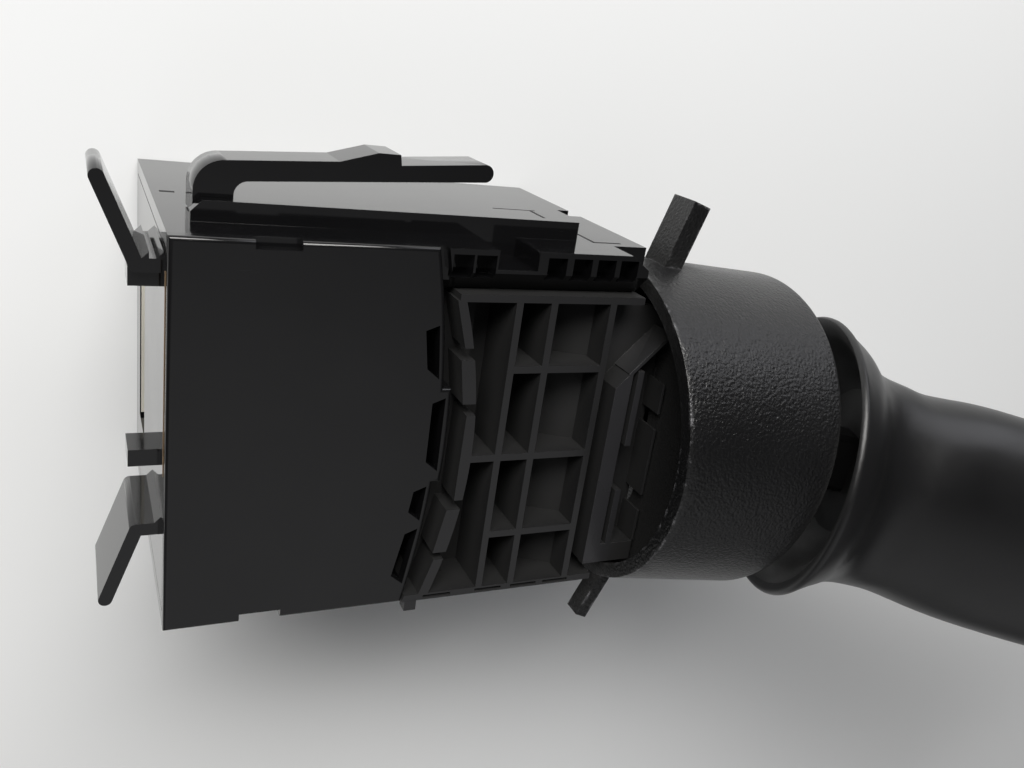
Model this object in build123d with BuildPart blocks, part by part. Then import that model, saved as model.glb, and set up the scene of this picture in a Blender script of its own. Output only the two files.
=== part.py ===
"""Combination stalk switch: plug-in switch box, grained collar and hollow lever.

Frame: origin at the centre of the inner end face, the seat on the column bracket.
+X runs along the box towards the lever, +Y is the latch side, +Z is the cover side.
All sizes are in millimetres.
"""

from build123d import *
from math import asin, atan2, cos, degrees, radians, sin, sqrt, tan
import os

os.makedirs("parts", exist_ok=True)

# ---------------------------------------------------------------- switch box
box_length = 58.2
box_height = 46.0
box_depth = 45.2
wall = 1.8
edge_round = 0.5
fit_gap = 0.15
moving_gap = 0.3
half_h = box_height / 2
half_d = box_depth / 2
inner_h = half_h - wall
outer_wall_x = box_length - wall

# inner end plate with its socket
end_thick = 1.2
socket_width = 25.0
socket_height = 8.6
socket_wall = 1.0
socket_depth = 9.0
socket_z = -11.6

# spring arms and locating blocks on the end plate
arm_thick = 1.5
arm_width = 12.0
arm_setback = 4.0
arm_base = 2.6
upper_arm_y = 18.9
upper_arm_rise = 8.7
upper_arm_out = 3.6
lower_arm_y = -11.7
lower_arm_drop = 8.8
lower_arm_out = 3.25
arm_ridge = 0.7
block_length = 3.4
block_height = 2.0
block_depth = 4.5
block_setback = 5.0
upper_block_y = 17.45
lower_block_y = -3.2

# front cover with its bowed, stepped right edge
cover_thick = 1.6
cover_reach = 30.9
edge_bow = 2.5
edge_step = 1.0
step_y = 6.2
rim_width = 0.7
skirt_depth = 5.0
notch_x = 10.8
notch_width = 4.8
top_notch = 1.0
bottom_notch = 1.3
snap_width = 1.6
snap_slant = 1.3

# rear cover
rear_thick = 1.6
post_radius = 1.8
post_height = 1.6
screw_head_radius = 2.2
plate_head_radius = 1.75
screw_head_height = 1.3
screw_radius = 1.0
screw_hole = 1.2

# rail, notch, pockets and step along the top face
rail_start = 2.8
rail_end = 49.0
rail_rise = 2.3
rail_setback = 7.0
rail_thick = 1.6
rail_chamfer = 1.2
strip_end = 55.9
strip_corner_x = 2.6
strip_corner_y = 1.8
strip_slope = 2.4
strip_drop = 5.0
strip_height = 5.1
strip_gap = 1.0
strip_gap_depth = 1.2
strip_pocket_xs = [31.2, 34.0, 43.1, 46.5, 49.8, 53.0]
strip_pocket_width = 2.5
strip_pocket_height = 2.8
strip_pocket_depth = 3.0
strip_pocket_y = 20.95
strip_notch_x = 38.05
strip_notch_width = 5.1
strip_notch_depth = 2.3
pad_margin = 1.0
pad_wall = 1.5
step_x = 56.3
step_depth = 0.8
step_front = -0.5
step_back = -4.4
wall_relief = 14.0
mouth_low = -20.9
mouth_high = 17.9
stem_window_y = -2.5
stem_window_z = 9.0
stem_window_width = 21.0
stem_window_height = 15.5
stem_window_round = 2.0

# release latch, a sprung arm on the top face
latch_front = 13.6
latch_width = 6.3
latch_root_x = 5.3
latch_root = 4.2
latch_gap = 0.2
latch_arm = 2.1
latch_under = 27.2
latch_rise = 0.8
latch_corner = 3.4
latch_slot_round = 1.6
latch_ramp_x = 18.7
latch_ramp_length = 4.4
latch_ramp_flat = 2.6
latch_ramp_rise = 1.3
latch_ramp_drop = 1.2
latch_tab_rise = 1.0
latch_tab_gap = 0.2
latch_end = 37.4

# rib frame beside the cover
rib = 0.9
lattice_depth = 7.4
floor_thick = 0.8
frame_rib_y = 17.3
rib_xs = [39.0, 43.6, 51.8]
cross_ys = [8.4, -3.3, -14.3]
top_rib_start = 31.4
top_rib_end = 56.2
fence_x = 35.4
fence_mid = -2.2
fence_bow = 4.6
ledge_depth = 4.6
ramp_top = 3.4
frame_end = 54.2
frame_wall = 0.9
wall_slot_xs = [33.2, 40.4, 45.6, 50.4]
wall_slot_length = 3.8
wall_slot_width = 0.4
wall_slot_depth = 1.0

# guide comb in the mouth of the collar
comb_end = 62.4
comb_depth = 4.8
comb_floor = 0.8
comb_gap = 0.3
slab_width = 2.3
slab_top = 5.6
comb_slope = 46.6
brace_x = 56.2
brace_y = 7.4
brace_length = 7.6
brace_thick = 0.5
fin_x = 57.85
fin_width = 0.9
fin_spans = [(-2.7, 7.9), (-18.3, -9.3)]
thin_fin_x = 61.8
thin_fin_width = 0.35
thin_fin_spans = [(1.7, 6.0), (-10.4, -0.5), (-17.5, -12.7)]
comb_block_height = 2.9

# collar
collar_length = 23.1
collar_mouth = 22.9
collar_rim = 23.6
collar_wall = 2.0
collar_y = -2.4
collar_drop = 2.53
collar_z = 12.6
collar_tilt = 9.2
rim_round = 0.9
bulkhead_x = 62.7
bulkhead_thick = 1.2
stem_opening_y = -3.4
stem_opening_z = 11.9
stem_opening_width = 21.8
stem_opening_height = 14.4
stem_opening_round = 3.0
tongue_width = 10.0
upper_tongue_z = 8.0
lower_tongue_z = -0.5
tongue_thick = 1.6
tongue_reach = 8.0
tongue_root = 2.0
upper_prong_x = 64.6
upper_prong_thick = 2.8
upper_prong_width = 5.0
upper_prong = 8.5
upper_prong_lean = 17.5
lower_prong_x = 59.6
lower_prong_z = 18.7
lower_prong_thick = 1.8
lower_prong_width = 2.7
lower_prong = 5.5
lower_prong_lean = 24.0
prong_root = 2.0

# lever geometry: the swing axis is Z through the pivot, the pull axis crosses it
pivot_x = 35.0
lever_heading = -6.28
lever_rise = 20.49
bell_distance = 57.4

# pivot parts
ledge_width = 4.0
ledge_thick = 2.0
plate_thick = 2.0
cage_height = 11.3
cage_plate = 2.0
trunnion_radius = 4.0
running_gap = 0.05
hub_radius = 6.6
hub_width = 13.4
cheek_thick = 3.0
cheek_length = 18.0
pin_radius = 2.0
bearing_start = 14.4
bearing_end = 52.0
bearing_screw_inset = 4.0
bridge_start = 23.5
bridge_end = 46.5
bridge_screw_inset = 3.5
stub_radius = 3.0

# stem and tail of the lever core
stem_width = 9.0
stem_thick = 5.6
stem_seat = 66.4
tail_radius = 3.6
tail_length = 13.4
plunger_radius = 2.2
plunger_tip = 16.7
plunger_length = 7.0
plunger_travel = 1.2
hub_bore_depth = 3.0
spring_wire = 0.45
spring_turns = 4
track_gap = 0.35
detent_valley = 0.5
detent_step = 10.0
detent_width = 20.0
detent_front = 1.5
detent_back_x = 14.5
detent_length = 8.0
shield_radius = 42.0
shield_thick = 1.0
shield_reach = 11.2
shield_slot = 8.0

# swing contacts on the circuit board
board_thick = 1.6
board_height = 39.0
board_start = 10.5
board_end = 55.0
guide_thick = 1.9
guide_margin = 3.0
slider_length = 12.0
slider_width = 9.0
slider_travel = 2.6
drive_radius = 12.0
drive_pin = 1.4
arm_plate = 1.5
blade_thick = 0.3
blade_width = 1.4
blade_offset = 4.4
blade_length = 6.0
slot_play = 1.6
pin_count = 8
pin_pitch = 2.9
pin_width = 0.8
pin_tip_x = 5.0
pin_leg_x = 13.5
pin_block_start = 9.2
pin_block_length = 1.2

# lever shell: half widths, half thicknesses and centre offsets at each station
bell_lip = 0.8
neck_radius = 11.0
shell_bore_width = 12.0
shell_bore_thick = 8.4
shell_bore_start = 17.0
shell_bore_length = 58.0
shell_bore_offset = -5.8
neck_floor = 9.0
handle_end = 90.0
handle_offset = -6.4
tip_radius = 11.8

# parts at the tip of the lever
spigot_radius = 8.0
spigot_insert = 5.0
ring_length = 8.4
ring_radius = 12.2
ring_flutes = 18
flute_radius = 0.7
band_length = 6.0
knob_length = 14.0
knob_radius = 11.6
knob_taper = 9.6
knob_flat = 8.9
knob_flat_start = 3.0
knob_floor = 2.0
cap_thick = 1.6
cap_radius = 7.4
cap_rise = 0.4
cap_round = 0.3
shaft_radius = 3.0
shaft_length = 42.0
disc_radius = 6.6
disc_thick = 1.6
contact_plate_thick = 1.6
axial_gap = 0.3

# -------------------------------------------------------------- derived frame
pivot = Vector(pivot_x, 0, 0)
head = radians(lever_heading)
rise = radians(lever_rise)
lever_dir = Vector(cos(rise) * cos(head), cos(rise) * sin(head), sin(rise))
across_dir = Vector(-sin(head), cos(head), 0)
lever_section = Plane(origin=pivot, x_dir=across_dir, z_dir=lever_dir)
lever_side = Plane(origin=pivot, x_dir=lever_dir, z_dir=-across_dir)
lever_axis = Axis(pivot, lever_dir)
cage_plan = Plane(origin=pivot, x_dir=Vector(cos(head), sin(head), 0), z_dir=(0, 0, 1))
lever_across = Plane(origin=pivot, x_dir=lever_dir, z_dir=across_dir)
tip_section = lever_section.offset(bell_distance).shift_origin(
    pivot + lever_dir * bell_distance + across_dir * handle_offset
)

cover_under = half_d - cover_thick
shell_back = -half_d + rear_thick
floor_top = half_d - lattice_depth
lower_ledge_top = -cage_height - moving_gap - plate_thick
bridge_back = cage_height + moving_gap


def edge_x(y):
    """Distance of the cover's bowed edge from the inner end face, at a height y."""
    return cover_reach - edge_bow * (y / half_h) ** 2


def bowed_edge(shift):
    """Three bowed runs of the cover's right edge, with a step between each two."""
    corner = edge_x(half_h) + shift
    inner = edge_x(step_y) + shift
    outer = inner + edge_step
    with BuildLine() as path:
        Line((0, half_h), (corner, half_h))
        mid = (half_h + step_y) / 2
        ThreePointArc((corner, half_h), (edge_x(mid) + shift, mid), (inner, step_y))
        Line((inner, step_y), (outer, step_y))
        bulge = (outer + edge_bow / 12, 0)
        ThreePointArc((outer, step_y), bulge, (outer, -step_y))
        Line((outer, -step_y), (inner, -step_y))
        ThreePointArc((inner, -step_y), (edge_x(mid) + shift, -mid), (corner, -half_h))
        Line((corner, -half_h), (0, -half_h))
        Line((0, -half_h), (0, half_h))
    return path.line


# -------------------------------------------------------------- inner end plate
arm_front = half_d - arm_setback
upper_lean = degrees(atan2(upper_arm_rise, -upper_arm_out))
lower_lean = degrees(atan2(-lower_arm_drop, -lower_arm_out))
upper_run = sqrt(upper_arm_rise**2 + upper_arm_out**2)
lower_run = sqrt(lower_arm_drop**2 + lower_arm_out**2)

with BuildPart() as end_plate:
    with BuildSketch(Plane.YZ):
        with Locations((0, (shell_back + cover_under) / 2)):
            Rectangle(2 * (inner_h - fit_gap), cover_under - shell_back - 2 * fit_gap)
    extrude(amount=end_thick)
    with BuildSketch(Plane.YZ):
        with Locations((0, socket_z)):
            Rectangle(socket_width + 2 * socket_wall, socket_height + 2 * socket_wall)
    extrude(amount=socket_depth)
    with BuildSketch(Plane.YZ):
        with Locations((0, socket_z)):
            Rectangle(socket_width, socket_height)
    extrude(amount=socket_depth, mode=Mode.SUBTRACT)
    with BuildSketch(Plane.XY.offset(arm_front)):
        with Locations((-arm_base / 2, upper_arm_y), (-arm_base / 2, lower_arm_y)):
            Rectangle(arm_base, arm_thick)
        with Locations((-arm_base - upper_arm_out / 2, upper_arm_y + upper_arm_rise / 2)):
            SlotCenterToCenter(upper_run, arm_thick, rotation=upper_lean)
        with Locations((-arm_base - lower_arm_out / 2, lower_arm_y - lower_arm_drop / 2)):
            SlotCenterToCenter(lower_run, arm_thick, rotation=lower_lean)
        # ridges along the arms' bases, two on the upper arm and one on the lower
        for arm_y, ridges in ((upper_arm_y, 2), (lower_arm_y, 1)):
            low = arm_y + arm_thick / 2
            for ridge in range(ridges):
                crest = -2 * ridge * arm_ridge
                with BuildLine():
                    Polyline(
                        (crest, low),
                        (crest, low + arm_ridge),
                        (crest - arm_ridge, low),
                        close=True,
                    )
                make_face()
    extrude(amount=-arm_width)
    with BuildSketch(Plane.XY.offset(half_d - block_setback)):
        with Locations((-block_length / 2, upper_block_y), (-block_length / 2, lower_block_y)):
            Rectangle(block_length, block_height)
    extrude(amount=-block_depth)
end_plate.part.label = "end_plate"

# ---------------------------------------------------------------- main housing
with BuildPart() as main_housing:
    with BuildSketch(Plane.XY.offset(shell_back)):
        Rectangle(box_length, box_height, align=(Align.MIN, Align.CENTER))
        Rectangle(
            outer_wall_x, 2 * inner_h, align=(Align.MIN, Align.CENTER), mode=Mode.SUBTRACT
        )
    extrude(amount=half_d - shell_back)
    # seat of the front cover
    with BuildSketch(Plane.XY.offset(cover_under)):
        make_face(bowed_edge(fit_gap))
    extrude(amount=cover_thick, mode=Mode.SUBTRACT)
    # bar that carries the row of pockets and ends at the cover's bowed edge
    with BuildSketch(Plane.XY.offset(half_d - strip_drop)):
        with Locations((edge_x(half_h), inner_h)):
            Rectangle(
                strip_end - edge_x(half_h),
                strip_height - wall,
                align=(Align.MIN, Align.MAX),
            )
        make_face(bowed_edge(fit_gap), mode=Mode.SUBTRACT)
    extrude(amount=strip_drop)
    # pad that keeps the notch closed towards the inside
    with BuildSketch(Plane.XY.offset(half_d - rail_setback - pad_margin)):
        with Locations((strip_notch_x, inner_h)):
            Rectangle(
                strip_notch_width + 2 * pad_margin,
                strip_notch_depth - wall + pad_wall,
                align=(Align.CENTER, Align.MAX),
            )
    extrude(amount=rail_setback + pad_margin - strip_drop)
    # the front right corners fall away beside the collar
    with BuildSketch(Plane.XY.offset(half_d)):
        with Locations((box_length, half_h)):
            Rectangle(box_length - strip_end, strip_height, align=(Align.MAX, Align.MAX))
        with Locations((box_length, -half_h)):
            Rectangle(box_length - strip_end, 2 * wall, align=(Align.MAX, Align.MIN))
        with BuildLine():
            Polyline(
                (strip_end, half_h),
                (strip_end, half_h - strip_corner_y),
                (strip_end - strip_corner_x, half_h),
                close=True,
            )
        make_face()
    extrude(amount=-strip_drop, mode=Mode.SUBTRACT)
    # slope along the bar's lower edge, into which the pockets open
    with BuildSketch(Plane.YZ.offset(edge_x(half_h))):
        with BuildLine():
            bar_low = half_h - strip_height
            Polyline(
                (bar_low, half_d),
                (bar_low, half_d - strip_slope),
                (bar_low + strip_slope, half_d),
                close=True,
            )
        make_face()
    extrude(amount=strip_end - edge_x(half_h), mode=Mode.SUBTRACT)
    # groove between the cover's rim and the bar
    with BuildSketch(Plane.XY.offset(half_d)):
        make_face(bowed_edge(strip_gap))
    extrude(amount=-strip_gap_depth, mode=Mode.SUBTRACT)
    # opening in the bottom wall for the rib frame's own wall
    with BuildSketch(Plane.XY.offset(half_d)):
        with Locations((strip_end + fit_gap, -half_h)):
            Rectangle(strip_end, wall, align=(Align.MAX, Align.MIN))
        make_face(bowed_edge(fit_gap), mode=Mode.SUBTRACT)
    extrude(amount=floor_top - floor_thick - fit_gap - half_d, mode=Mode.SUBTRACT)
    # mouth for the lever's stem and the rib frame
    with BuildSketch(Plane.YZ.offset(outer_wall_x - fit_gap)):
        with Locations((mouth_low, half_d)):
            Rectangle(
                mouth_high - mouth_low, half_d - wall_relief, align=(Align.MIN, Align.MAX)
            )
        with Locations((stem_window_y, stem_window_z)):
            RectangleRounded(stem_window_width, stem_window_height, stem_window_round)
    extrude(amount=wall + 2 * fit_gap, mode=Mode.SUBTRACT)
    # row of pockets
    with BuildSketch(Plane.XY.offset(half_d)):
        with Locations(*[(x, strip_pocket_y) for x in strip_pocket_xs]):
            Rectangle(strip_pocket_width, strip_pocket_height)
    extrude(amount=-strip_pocket_depth, mode=Mode.SUBTRACT)
    # notch between the two groups of pockets
    with BuildSketch(Plane.XY.offset(half_d)):
        with Locations((strip_notch_x, half_h)):
            Rectangle(strip_notch_width, strip_notch_depth, align=(Align.CENTER, Align.MAX))
    extrude(amount=-rail_setback, mode=Mode.SUBTRACT)
    # step where the collar's tongue shows
    with BuildSketch(Plane.XY.offset(step_back)):
        with Locations((step_x, half_h)):
            Rectangle(box_length - step_x, step_depth, align=(Align.MIN, Align.MAX))
    extrude(amount=step_front - step_back, mode=Mode.SUBTRACT)
    # rail with a chamfered leading end
    with BuildSketch(Plane.XY.offset(half_d - rail_setback)):
        with Locations((rail_start, half_h)):
            Rectangle(rail_end - rail_start, rail_rise, align=(Align.MIN, Align.MIN))
    extrude(amount=-rail_thick)
    rail_corner = main_housing.edges().filter_by(Axis.Z).sort_by(Axis.Y)[-2:].sort_by(Axis.X)[0]
    chamfer(rail_corner, rail_chamfer)
    # ledges that carry the bearing plate and the pivot bridge
    for side in (-1, 1):
        with BuildSketch(Plane.XY.offset(lower_ledge_top - ledge_thick)):
            with Locations((bearing_start, side * inner_h)):
                Rectangle(
                    bearing_end - bearing_start,
                    ledge_width,
                    align=(Align.MIN, Align.MAX if side > 0 else Align.MIN),
                )
        extrude(amount=ledge_thick)
        with BuildSketch(Plane.XY.offset(bridge_back - ledge_thick)):
            with Locations((bridge_start, side * inner_h)):
                Rectangle(
                    bridge_end - bridge_start,
                    ledge_width,
                    align=(Align.MIN, Align.MAX if side > 0 else Align.MIN),
                )
        extrude(amount=ledge_thick)
    # slots for the collar's tongues
    for side, tongue_z in ((1, upper_tongue_z), (-1, lower_tongue_z)):
        with BuildSketch(Plane.YZ.offset(outer_wall_x)):
            with Locations((side * (inner_h - tongue_thick / 2 - fit_gap), tongue_z)):
                Rectangle(tongue_thick + 2 * fit_gap, tongue_width + 2 * fit_gap)
        extrude(amount=wall, mode=Mode.SUBTRACT)
main_housing.part.label = "main_housing"

# ----------------------------------------------------------------- front cover
snap_spans = [
    (7.4, 14.0, 0),
    (-4.6, 5.0, edge_step),
    (-11.3, -6.6, 0),
    (-20.2, -12.4, 0),
]
with BuildPart() as front_cover:
    with BuildSketch(Plane.XY.offset(cover_under)):
        make_face(bowed_edge(0))
    extrude(amount=cover_thick)
    fillet(front_cover.faces().sort_by(Axis.Z)[-1].edges(), edge_round)
    # skirt under the bowed edge
    with BuildSketch(Plane.XY.offset(cover_under)):
        make_face(bowed_edge(0))
        make_face(bowed_edge(-rim_width), mode=Mode.SUBTRACT)
        with Locations((cover_reach, 0)):
            Rectangle(cover_reach, 2 * (half_h - strip_height - fit_gap), mode=Mode.INTERSECT)
    extrude(amount=-skirt_depth)
    # notches in the top and bottom edges
    with BuildSketch(Plane.XY.offset(half_d)):
        with Locations((notch_x, half_h)):
            Rectangle(notch_width, top_notch, align=(Align.CENTER, Align.MAX))
        with Locations((notch_x, -half_h)):
            Rectangle(notch_width, bottom_notch, align=(Align.CENTER, Align.MIN))
    extrude(amount=-cover_thick, mode=Mode.SUBTRACT)
    # snap pockets behind the rim, with slanted lower ends
    with BuildSketch(Plane.XY.offset(half_d)):
        for low, high, step in snap_spans:
            low_x = edge_x(low) + step - rim_width
            high_x = edge_x(high) + step - rim_width
            with BuildLine():
                Polyline(
                    (high_x, high),
                    (high_x - snap_width, high - snap_slant / 2),
                    (low_x - snap_width, low + snap_slant),
                    (low_x, low),
                    close=True,
                )
            make_face()
    extrude(amount=-cover_thick, mode=Mode.SUBTRACT)
front_cover.part.label = "front_cover"

# ------------------------------------------------------------------ rear cover
post_spots = [(16.0, 15.5), (16.0, -15.5), (50.0, 15.5), (50.0, -15.5)]
with BuildPart() as rear_cover:
    with BuildSketch(Plane.XY.offset(-half_d)):
        Rectangle(box_length, box_height, align=(Align.MIN, Align.CENTER))
    extrude(amount=rear_thick)
    chamfer(rear_cover.faces().sort_by(Axis.Z)[0].edges(), edge_round)
    with BuildSketch(Plane.XY.offset(shell_back)):
        with Locations(*post_spots):
            Circle(post_radius)
    extrude(amount=post_height)
rear_cover.part.label = "rear_cover"

# --------------------------------------------------------------- circuit board
board_back = shell_back + post_height
board_front = board_back + board_thick
with BuildPart() as circuit_board:
    with BuildSketch(Plane.XY.offset(board_back)):
        with Locations((board_start, 0)):
            Rectangle(board_end - board_start, board_height, align=(Align.MIN, Align.CENTER))
        with Locations(*post_spots):
            Circle(screw_hole, mode=Mode.SUBTRACT)
    extrude(amount=board_thick)
circuit_board.part.label = "circuit_board"

with BuildPart() as board_screws:
    with BuildSketch(Plane.XY.offset(board_front)):
        with Locations(*post_spots):
            Circle(screw_head_radius)
    extrude(amount=screw_head_height)
    with BuildSketch(Plane.XY.offset(board_back)):
        with Locations(*post_spots):
            Circle(screw_radius)
    extrude(amount=board_thick)
board_screws.part.label = "board_screws"

# ------------------------------------------------- terminals and their block
pin_ys = [(i - (pin_count - 1) / 2) * pin_pitch for i in range(pin_count)]
with BuildPart() as terminal_block:
    with BuildSketch(Plane.YZ.offset(pin_block_start)):
        with Locations((0, socket_z)):
            Rectangle(socket_width + 2 * socket_wall, socket_height + 2 * socket_wall)
        with Locations(*[(y, socket_z) for y in pin_ys]):
            Rectangle(pin_width + 2 * running_gap, pin_width + 2 * running_gap, mode=Mode.SUBTRACT)
    extrude(amount=pin_block_length)
terminal_block.part.label = "terminal_block"

with BuildPart() as terminal_pins:
    with BuildSketch(Plane.YZ.offset(pin_tip_x)):
        with Locations(*[(y, socket_z) for y in pin_ys]):
            Rectangle(pin_width, pin_width)
    extrude(amount=pin_leg_x - pin_tip_x)
    with BuildSketch(Plane.XY.offset(board_front)):
        with Locations(*[(pin_leg_x - pin_width / 2, y) for y in pin_ys]):
            Rectangle(pin_width, pin_width)
    extrude(amount=socket_z - board_front)
terminal_pins.part.label = "terminal_pins"

# ------------------------------------------------ bearing plate, pivot bridge
bearing_screw_spots = [
    (x, side * (inner_h - ledge_width / 2))
    for x in (bearing_start + bearing_screw_inset, bearing_end - bearing_screw_inset)
    for side in (-1, 1)
]
bridge_screw_spots = [
    (x, side * (inner_h - ledge_width / 2))
    for x in (bridge_start + bridge_screw_inset, bridge_end - bridge_screw_inset)
    for side in (-1, 1)
]

with BuildPart() as bearing_plate:
    with BuildSketch(Plane.XY.offset(lower_ledge_top)):
        with Locations((bearing_start, 0)):
            Rectangle(
                bearing_end - bearing_start,
                2 * (inner_h - fit_gap),
                align=(Align.MIN, Align.CENTER),
            )
        with Locations((pivot_x, 0)):
            Circle(trunnion_radius + running_gap, mode=Mode.SUBTRACT)
        with Locations(*bearing_screw_spots):
            Circle(screw_hole, mode=Mode.SUBTRACT)
    extrude(amount=plate_thick)
bearing_plate.part.label = "bearing_plate"

with BuildPart() as pivot_bridge:
    with BuildSketch(Plane.XY.offset(bridge_back)):
        with Locations((bridge_start, 0)):
            Rectangle(
                bridge_end - bridge_start,
                2 * (inner_h - fit_gap),
                align=(Align.MIN, Align.CENTER),
            )
        with Locations((pivot_x, 0)):
            Circle(trunnion_radius + running_gap, mode=Mode.SUBTRACT)
        with Locations(*bridge_screw_spots):
            Circle(screw_hole, mode=Mode.SUBTRACT)
    extrude(amount=plate_thick)
pivot_bridge.part.label = "pivot_bridge"

with BuildPart() as plate_screws:
    with BuildSketch(Plane.XY.offset(lower_ledge_top + plate_thick)):
        with Locations(*bearing_screw_spots):
            Circle(plate_head_radius)
    extrude(amount=screw_head_height)
    with BuildSketch(Plane.XY.offset(lower_ledge_top)):
        with Locations(*bearing_screw_spots):
            Circle(screw_radius)
    extrude(amount=plate_thick)
plate_screws.part.label = "plate_screws"

# ------------------------------------------------------------------- rib frame
# each tab of the fence: upper end, lower end, width
fence_tabs = [
    (17.0, 11.2, 1.1),
    (9.7, 4.1, 1.7),
    (2.6, -8.9, 1.15),
    (-10.2, -16.2, 1.8),
    (-17.2, -22.5, 1.3),
]


def fence_curve_x(y):
    """Distance of the fence's right side from the inner end face, at a height y."""
    return fence_x - fence_bow * ((y - fence_mid) / half_h) ** 2


with BuildPart() as rib_frame:
    frame_top = frame_rib_y + rib / 2
    frame_height = frame_top + half_h
    with BuildSketch(Plane.XY.offset(floor_top - floor_thick)):
        with Locations((fence_x - rib, -half_h)):
            Rectangle(frame_end - fence_x + rib, frame_height, align=(Align.MIN, Align.MIN))
    extrude(amount=floor_thick)
    # ribs that run across the box
    with BuildSketch(Plane.XY.offset(floor_top)):
        for x in rib_xs:
            with Locations((x, -half_h)):
                Rectangle(rib, frame_height, align=(Align.CENTER, Align.MIN))
        with Locations((rib_xs[0], cross_ys[0]), (rib_xs[0], cross_ys[2])):
            Rectangle(rib_xs[2] - rib_xs[0], rib, align=(Align.MIN, Align.CENTER))
        with Locations((fence_x - rib, cross_ys[1])):
            Rectangle(rib_xs[2] - fence_x + rib, rib, align=(Align.MIN, Align.CENTER))
    extrude(amount=lattice_depth)
    # floors that ramp up towards the last rib
    with BuildSketch(Plane.XZ.offset(-frame_top)):
        with BuildLine():
            Polyline(
                (rib_xs[1], floor_top),
                (rib_xs[2], floor_top),
                (rib_xs[2], half_d - ramp_top),
                close=True,
            )
        make_face()
    extrude(amount=frame_height)
    # ledge between the cover's edge and the fence
    with BuildSketch(Plane.XY.offset(half_d - ledge_depth - floor_thick)):
        with Locations((edge_x(half_h), -half_h)):
            Rectangle(fence_x - edge_x(half_h), frame_height, align=(Align.MIN, Align.MIN))
        make_face(bowed_edge(fit_gap), mode=Mode.SUBTRACT)
    extrude(amount=floor_thick)
    # web that joins the ledge to the deeper floor
    with BuildSketch(Plane.XY.offset(floor_top - floor_thick)):
        with Locations((fence_x, -half_h)):
            Rectangle(rib, frame_height, align=(Align.MAX, Align.MIN))
    extrude(amount=lattice_depth - ledge_depth + floor_thick)
    # fence of separate tabs that follows the bow of the cover, top rib and bottom wall
    with BuildSketch(Plane.XY.offset(half_d - ledge_depth)):
        for high, low, width in fence_tabs:
            high_x = fence_curve_x(high)
            low_x = fence_curve_x(low)
            mid_x = fence_curve_x((high + low) / 2)
            with BuildLine():
                Line((high_x - width, high), (high_x, high))
                ThreePointArc((high_x, high), (mid_x, (high + low) / 2), (low_x, low))
                Polyline((low_x, low), (low_x - width, low), (high_x - width, high))
            make_face()
        with Locations((top_rib_start, frame_rib_y)):
            Rectangle(top_rib_end - top_rib_start, rib, align=(Align.MIN, Align.CENTER))
        with Locations((edge_x(half_h), -half_h)):
            Rectangle(strip_end - edge_x(half_h), frame_wall, align=(Align.MIN, Align.MIN))
        make_face(bowed_edge(fit_gap), mode=Mode.SUBTRACT)
    extrude(amount=ledge_depth)
    # deeper parts of the top rib and the bottom wall
    with BuildSketch(Plane.XY.offset(floor_top - floor_thick)):
        with Locations((fence_x, frame_rib_y)):
            Rectangle(top_rib_end - fence_x, rib, align=(Align.MIN, Align.CENTER))
        with Locations((fence_x, -half_h)):
            Rectangle(strip_end - fence_x, frame_wall, align=(Align.MIN, Align.MIN))
    extrude(amount=lattice_depth + floor_thick)
    # slots in the front edge of the bottom wall
    with BuildSketch(Plane.XY.offset(half_d)):
        with Locations(*[(x, -half_h + frame_wall / 2) for x in wall_slot_xs]):
            Rectangle(wall_slot_length, wall_slot_width)
    extrude(amount=-wall_slot_depth, mode=Mode.SUBTRACT)
rib_frame.part.label = "rib_frame"

# ------------------------------------------------------------------ guide comb
comb_back = half_d - comb_depth
comb_start = frame_end + fit_gap
collar_bore = collar_mouth - collar_wall
comb_reach = sqrt(collar_bore**2 - (half_d - collar_z) ** 2) - comb_gap
comb_bottom = collar_y - comb_reach
with BuildPart() as guide_comb:
    with BuildSketch(Plane.XY.offset(comb_back)):
        with Locations((comb_start, comb_bottom)):
            Rectangle(comb_end - comb_start, 2 * comb_reach, align=(Align.MIN, Align.MIN))
    extrude(amount=comb_floor)
    with BuildSketch(Plane.XY.offset(comb_back)):
        # slab beside the rib frame, cut off on the slope of the brace
        slope_rise = slab_width * tan(radians(comb_slope))
        with BuildLine():
            Polyline(
                (comb_start, comb_bottom),
                (comb_start + slab_width, comb_bottom),
                (comb_start + slab_width, slab_top + slope_rise),
                (comb_start, slab_top),
                close=True,
            )
        make_face()
        with Locations((brace_x, brace_y)):
            Rectangle(
                brace_length,
                brace_thick,
                rotation=comb_slope,
                align=(Align.MIN, Align.CENTER),
            )
        for low, high in fin_spans:
            with Locations((fin_x, (low + high) / 2)):
                Rectangle(fin_width, high - low)
        for low, high in thin_fin_spans:
            with Locations((thin_fin_x, (low + high) / 2)):
                Rectangle(thin_fin_width, high - low)
        with Locations((thin_fin_x, comb_bottom)):
            Rectangle(
                thin_fin_x - comb_start,
                comb_block_height,
                align=(Align.MAX, Align.MIN),
            )
    extrude(amount=comb_depth)
guide_comb.part.label = "guide_comb"

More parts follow.
